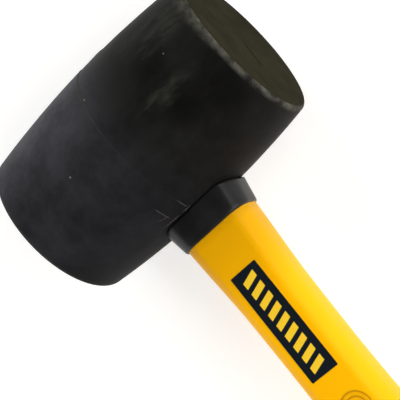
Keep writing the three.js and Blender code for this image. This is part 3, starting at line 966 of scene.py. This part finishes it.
def makeLabel():
    low, high = labelSolid
    middleX, halfLength, halfWidth = (low.x + high.x) / 2, (high.x - low.x) / 2, high.y
    bm = bmesh.new()
    bmesh.ops.create_cube(bm, size=2)
    for vert in bm.verts:
        vert.co = Vector((vert.co.x * halfLength, vert.co.y * halfWidth,
                          label["thick"] if vert.co.z > 0 else 0.0))
    upright = label["thick"] / 2
    corners = [edge for edge in bm.edges if abs(edge.verts[0].co.z - edge.verts[1].co.z) > upright]
    bmesh.ops.bevel(bm, geom=corners, offset=label["cornerRadius"], segments=5, profile=0.5, affect="EDGES",
                    material=-1)
    # the top is cut along the edges of the printed bars, and the ink stands a little proud
    barMiddles = [(i - (label["bars"] - 1) / 2) * label["barPitch"] for i in range(label["bars"])]
    cuts = [((0, side * label["barHalfHeight"], 0), (0, 1, 0)) for side in (1, -1)]
    for middle in barMiddles:
        for side in (1, -1):
            cuts.append(((middle + side * label["barWidth"] / 2, 0, 0), (1, label["barLean"], 0)))
    for point, across in cuts:
        bmesh.ops.bisect_plane(bm, geom=bm.verts[:] + bm.edges[:] + bm.faces[:], plane_co=point,
                               plane_no=across)

    def printed(face):
        centre = face.calc_center_median()
        position = centre.x + label["barLean"] * centre.y
        inBar = any(abs(position - middle) < label["barWidth"] / 2 for middle in barMiddles)
        return face.normal.z > 0.9 and abs(centre.y) < label["barHalfHeight"] and inBar

    bm.normal_update()
    inked = [face for face in bm.faces if printed(face)]
    for face in inked:
        face.material_index = 1
    raised = bmesh.ops.extrude_face_region(bm, geom=inked)["geom"]
    bmesh.ops.translate(bm, vec=(0, 0, label["inkHeight"]),
                        verts=[part for part in raised if isinstance(part, bmesh.types.BMVert)])
    bmesh.ops.delete(bm, geom=inked, context="FACES_ONLY")
    bmesh.ops.translate(bm, vec=(middleX, 0, handleThickness(middleX) + fitGap / 2), verts=bm.verts)
    layPiece("frontLabel", bm, [labelFilm(), labelInk()], ["front_label"])


def labelFilm():
    # screen-printed polyester film: blue-black and satin, with a few hairline scuffs
    look = {"film": "#06101a", "scuff": "#25323c", "scuffSize": 0.6, "draw": 0.1, "slant": 0.5,
            "depth": 0.006}
    material, tree, space = startMaterial("printedLabelFilm")
    drawn = addNode(tree, "ShaderNodeMapping",
                    {"Vector": space, "Rotation": (0, 0, look["slant"]), "Scale": (look["draw"], 1, 1)})
    scuffs = addNode(tree, "ShaderNodeTexNoise",
                     {"Vector": drawn, "Scale": 1 / look["scuffSize"], "Detail": 4.0, "Roughness": 0.75})
    share = addNode(tree, "ShaderNodeMapRange", {0: scuffs, 1: 0.62, 2: 0.85, 3: 0.0, 4: 0.5})
    colour = addNode(tree, "ShaderNodeMix",
                     {0: share, 6: toLinear(look["film"]), 7: toLinear(look["scuff"])}, 2,
                     data_type="RGBA")
    roughness = addNode(tree, "ShaderNodeMapRange", {0: share, 3: 0.34, 4: 0.6})
    bump = addNode(tree, "ShaderNodeBump", {"Height": scuffs, "Distance": look["depth"] * millimetre})
    endMaterial(tree, {"Base Color": colour, "Roughness": roughness, "Normal": bump, "IOR": 1.57,
                       "Specular IOR Level": 0.25})
    return material


def labelInk():
    # opaque screen ink: flat yellow, matte, its weave of the printing mesh just showing
    look = {"ink": "#f2c618", "thin": "#dcae10", "meshSize": 0.35, "depth": 0.008}
    material, tree, space = startMaterial("screenPrintedInk")
    cover = addNode(tree, "ShaderNodeTexNoise",
                    {"Vector": space, "Scale": 1 / look["meshSize"], "Detail": 2.0})
    share = addNode(tree, "ShaderNodeMapRange", {0: cover, 1: 0.5, 2: 0.8, 3: 0.0, 4: 0.6})
    colour = addNode(tree, "ShaderNodeMix", {0: share, 6: toLinear(look["ink"]), 7: toLinear(look["thin"])},
                     2, data_type="RGBA")
    bump = addNode(tree, "ShaderNodeBump", {"Height": cover, "Distance": look["depth"] * millimetre})
    endMaterial(tree, {"Base Color": colour, "Roughness": 0.5, "Normal": bump, "IOR": 1.5})
    return material


# the grip

grip = {
    "wall": 2.2,
    "lip": 0.7,                # how far it stands over the handle's own line
    "lipRound": 0.6,
    "lipEase": 0.15,
    "endGap": 0.1,             # between the jacket's end and the sleeve's blind end
    "grooves": 11,
    "firstGroove": 190.0,
    "groovePitch": 8.0,
    "grooveDepth": 0.95,
    "grooveHalfWidth": 1.7,
    "crown": 0.12,             # each pad between grooves is a little higher in its middle
    "endInset": 0.75,
    "buttContact": 295.0,
    "holeX": 287.0,
    "holeRadius": 4.5,
    "holeLip": 1.3,
    "cutBeyond": 4.0,          # how far the hole's cutter runs past each face
}


def gripLift(x):
    # height of the grip's skin over the handle's line: pads with round-bottomed grooves between them
    first, pitch = grip["firstGroove"], grip["groovePitch"]
    last = first + (grip["grooves"] - 1) * pitch
    nearest = first + pitch * min(max(round((x - first) / pitch), 0), grip["grooves"] - 1)
    away = abs(x - nearest) / grip["grooveHalfWidth"]
    depth = grip["grooveDepth"] * (0.5 + 0.5 * math.cos(math.pi * min(away, 1.0)))
    between = (x - first) / pitch % 1.0
    crowned = grip["crown"] * math.sin(math.pi * between) if first < x < last else 0.0
    return grip["lip"] - grip["crown"] + crowned - depth


def makeGrip():
    start, end, innerEnd = gripSolid[0].x, gripSolid[1].x, jacketSolid[1].x
    inside, gap, lip = fitGap - grip["wall"], grip["endGap"], grip["lipRound"]
    # from the blind end of the sleeve forward to its lip, then back over the pads to the butt
    loops = [handleLoop(innerEnd + gap, inside - jacket["endEase"])]
    loops = closingLoops(loops[0])[::-1] + loops
    loops += [handleLoop(x, inside) for x in spread(innerEnd + gap, start + 0.4, 44)]
    loops.append(handleLoop(start + gap, inside))
    loops.append(handleLoop(start, inside + grip["lipEase"]))
    top = gripLift(start + lip)
    for angle in spread(0, math.pi / 2, 6):
        x = start + lip * (1 - math.cos(angle))
        loops.append(handleLoop(x, top - lip * (1 - math.sin(angle)), 0.0))
    seam, contact, stepLength = handle["moldLine"], grip["buttContact"], 0.5
    steps = round((contact - start - 2) / stepLength)
    loops += [handleLoop(x, gripLift(x), seam) for x in spread(start + 2, contact, steps)]
    radius = end - contact
    for angle in spread(0, math.pi / 2, 14)[1:]:
        inset = grip["endInset"] * radius * (1 - math.cos(angle))
        x = contact + radius * math.sin(angle)
        loops.append(handleLoop(x, gripLift(contact) - inset, seam * math.cos(angle)))
    loops += closingLoops(loops[-1], (0.85, 0.7, 0.5, 0.25, 0.0))
    bm = combine(skin(loops), [hangHoleCutter()])
    layPiece("gripSleeve", bm, [gripRubber()], ["grip_sleeve"], 50)


def hangHoleCutter():
    # the bore widens into a rounded mouth on both faces
    radius, lip = grip["holeRadius"], grip["holeLip"]
    face = handleThickness(grip["holeX"]) + gripLift(grip["holeX"])
    half = [(radius, z) for z in spread(0, face - lip, 4)]
    for angle in spread(math.pi / 2, math.radians(12), 6)[1:]:
        half.append((radius + lip * (1 - math.sin(angle)), face - lip * (1 - math.cos(angle))))
    past = face + grip["cutBeyond"]
    half += [(half[-1][0], past), (0, past)]
    lower = [(r, -z) for r, z in half[1:]][::-1]
    return turned(lower + half, (0, 0, 1), 72, (grip["holeX"], 0, 0))


def gripRubber():
    # overmoulded thermoplastic rubber: matte black, pebbled by the etched mould, shinier where hands rub
    look = {"rubber": "#19191a", "rubbed": "#262627", "pebbleSize": 0.7, "patchSize": 14.0, "depth": 0.06}
    material, tree, space = startMaterial("overmouldedGripRubber")
    pebbles = addNode(tree, "ShaderNodeTexVoronoi", {"Vector": space, "Scale": 1 / look["pebbleSize"]},
                      feature="SMOOTH_F1")
    patches = addNode(tree, "ShaderNodeTexNoise",
                      {"Vector": space, "Scale": 1 / look["patchSize"], "Detail": 3.0})
    share = addNode(tree, "ShaderNodeMapRange", {0: patches, 1: 0.4, 2: 0.65})
    colour = addNode(tree, "ShaderNodeMix",
                     {0: share, 6: toLinear(look["rubber"]), 7: toLinear(look["rubbed"])}, 2,
                     data_type="RGBA")
    roughness = addNode(tree, "ShaderNodeMapRange", {0: share, 3: 0.66, 4: 0.52})
    bump = addNode(tree, "ShaderNodeBump",
                   {"Height": pebbles, "Distance": look["depth"] * millimetre}, invert=True)
    endMaterial(tree, {"Base Color": colour, "Roughness": roughness, "Normal": bump, "IOR": 1.5,
                       "Specular IOR Level": 0.4})
    return material


# studio

studio = {
    "floorSize": 14.0,
    "floorColour": "#d9d8d5",
    "paper": "#ffffff",
    "fibreSize": 20.0,
    # the paper lies on a light table, which softens what shadows it has; beyond the softboxes it glows more
    "nearGlow": 0.5,
    "farGlow": 0.72,
    "glowGrows": (500.0, 1500.0),
    # the air is bright round the horizon and dim overhead, so that flat tops don't mirror a white ceiling
    "horizonGlow": 0.88,
    "ceilingGlow": 0.096,
    # sines of the heights where the glow starts to fade and where the ceiling starts
    "glowFades": 0.2,
    "ceilingStarts": 0.62,
    # softboxes: where each stands from the head in metres, its size and its power in watts
    "softboxes": {
        "keyBox": {"stands": (0.6, 0.95, 0.55), "size": 0.9, "power": 10.5},
        "backBox": {"stands": (-1.0, -0.1, 0.6), "size": 0.9, "power": 6.0},
        "sideBox": {"stands": (0.3, -1.0, 0.45), "size": 0.9, "power": 4.5},
        "handleBox": {"stands": (0.45, 0.2, 0.5), "size": 0.35, "power": 1.2},
        "cornerBox": {"stands": (-0.18, 0.84, 0.6), "size": 0.35, "power": 1.3},
    },
}


def makeStudio():
    bm = bmesh.new()
    bmesh.ops.create_grid(bm, x_segments=1, y_segments=1, size=studio["floorSize"] / 2)
    mesh = bpy.data.meshes.new("floor")
    bm.to_mesh(mesh)
    bm.free()
    floor = bpy.data.objects.new("floor", mesh)
    bpy.context.scene.collection.objects.link(floor)
    material, tree, space = startMaterial("paleStudioPaper")
    fibre = addNode(tree, "ShaderNodeTexNoise",
                    {"Vector": space, "Scale": 1 / studio["fibreSize"], "Detail": 2.0})
    roughness = addNode(tree, "ShaderNodeMapRange", {0: fibre, 1: 0.3, 2: 0.7, 3: 0.75, 4: 0.85})
    away = addNode(tree, "ShaderNodeVectorMath", {0: space}, "Value", operation="LENGTH")
    near, far = studio["glowGrows"]
    glow = addNode(tree, "ShaderNodeMapRange",
                   {0: away, 1: near, 2: far, 3: studio["nearGlow"], 4: studio["farGlow"]})
    endMaterial(tree, {"Base Color": toLinear(studio["floorColour"]), "Roughness": roughness,
                       "Specular IOR Level": 0.2, "Emission Color": toLinear(studio["paper"]),
                       "Emission Strength": glow})
    mesh.materials.append(material)

    world = bpy.data.worlds.new("studioAir")
    world.use_nodes = True
    sky = world.node_tree
    sky.nodes.clear()
    direction = addNode(sky, "ShaderNodeTexCoord", {}, "Generated")
    height = addNode(sky, "ShaderNodeSeparateXYZ", {0: direction}, "Z")
    glow = addNode(sky, "ShaderNodeMapRange",
                   {0: height, 1: studio["glowFades"], 2: studio["ceilingStarts"], 3: studio["horizonGlow"],
                    4: studio["ceilingGlow"]}, interpolation_type="SMOOTHSTEP")
    air = addNode(sky, "ShaderNodeBackground", {"Color": toLinear(studio["paper"]), "Strength": glow})
    addNode(sky, "ShaderNodeOutputWorld", {"Surface": air})
    bpy.context.scene.world = world

    for name, box in studio["softboxes"].items():
        light = bpy.data.lights.new(name, "AREA")
        light.shape = "SQUARE"
        light.size = box["size"]
        light.energy = box["power"]
        lamp = bpy.data.objects.new(name, light)
        lamp.location = headCentre + Vector(box["stands"])
        lamp.rotation_euler = (headCentre - lamp.location).to_track_quat("-Z", "Y").to_euler()
        bpy.context.scene.collection.objects.link(lamp)


camera = {
    "stands": (92.42, 117.55, 308.86),      # along the tool's axes, from the middle of the head
    "aims": (27.77, -0.14, 0.0),
    "upwards": (-0.76617, 0.63732, -0.08246),
    "lens": 92.09,
    "sensor": 36.0,
    "sees": (0.01, 10.0),                   # nearest and furthest, in metres
}


def makeCamera():
    stands = toolToWorld @ Vector(camera["stands"])
    backward = (stands - toolToWorld @ Vector(camera["aims"])).normalized()
    upwards = toolToWorld.to_3x3() @ Vector(camera["upwards"])
    right = upwards.cross(backward).normalized()
    up = backward.cross(right)
    lens = bpy.data.cameras.new("camera")
    lens.lens = camera["lens"]
    lens.sensor_width = camera["sensor"]
    lens.clip_start, lens.clip_end = camera["sees"]
    eyePoint = bpy.data.objects.new("camera", lens)
    eyePoint.matrix_world = Matrix.Translation(stands) @ Matrix((right, up, backward)).transposed().to_4x4()
    bpy.context.scene.collection.objects.link(eyePoint)
    bpy.context.scene.camera = eyePoint


makeCamera()
makeHead()
makeCollar()
makeJacket()
makeCore()
makeBond()
makeWedges()
makeLabel()
makeGrip()
makeStudio()
bpy.context.scene.view_settings.view_transform = "Standard"
print("studio ready")
